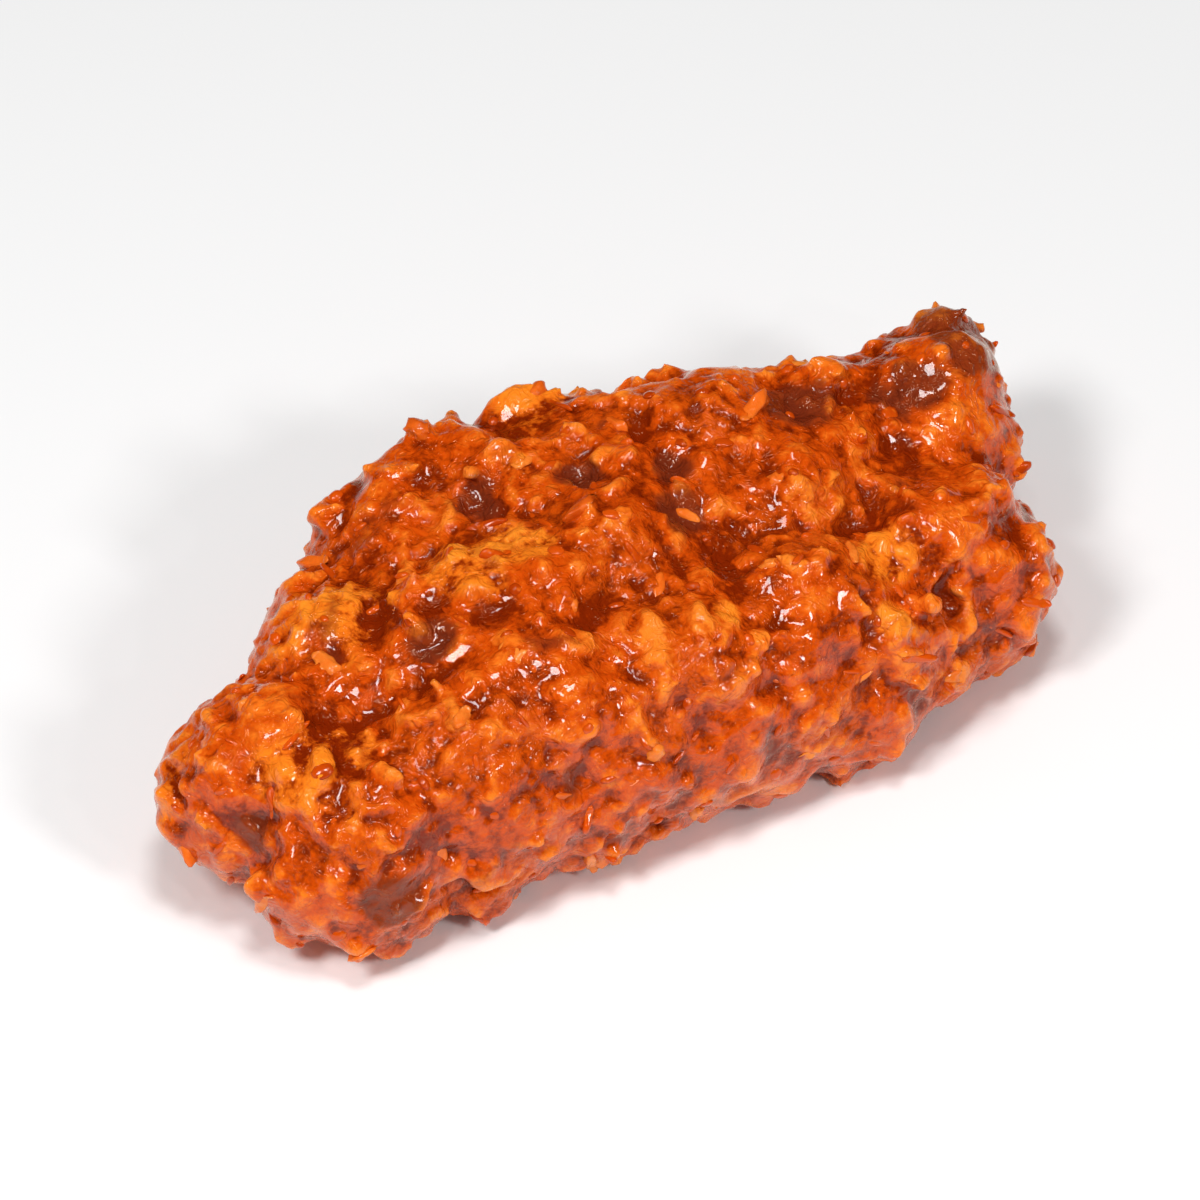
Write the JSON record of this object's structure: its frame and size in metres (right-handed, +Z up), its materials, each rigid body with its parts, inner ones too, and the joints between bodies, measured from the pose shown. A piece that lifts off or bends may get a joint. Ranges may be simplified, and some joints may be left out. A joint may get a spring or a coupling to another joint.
{
  "type": "chicken wing",
  "caption": "Breaded and fried chicken wing flat in a glossy orange-red sauce, lying on its side; a ready-to-eat piece of food.",
  "frame": {"origin": "bottom centre of the wing's box, on the surface that it rests on", "axes": "+X along the wing from the wrist end to the elbow end, +Y towards its bulging skin side, +Z up"},
  "size_m": [0.096, 0.0486, 0.0275],
  "materials": {
    "sauced_crust": "craggy fried crust under a thin glossy sauce",
    "crisp_crumb": "golden orange crumbs of batter, lightly glazed",
    "sauce_glaze": "wet, deep orange-red sauce"
  },
  "bodies": {
    "root": {"wing": "sauced_crust"}
  },
  "joints": []
}
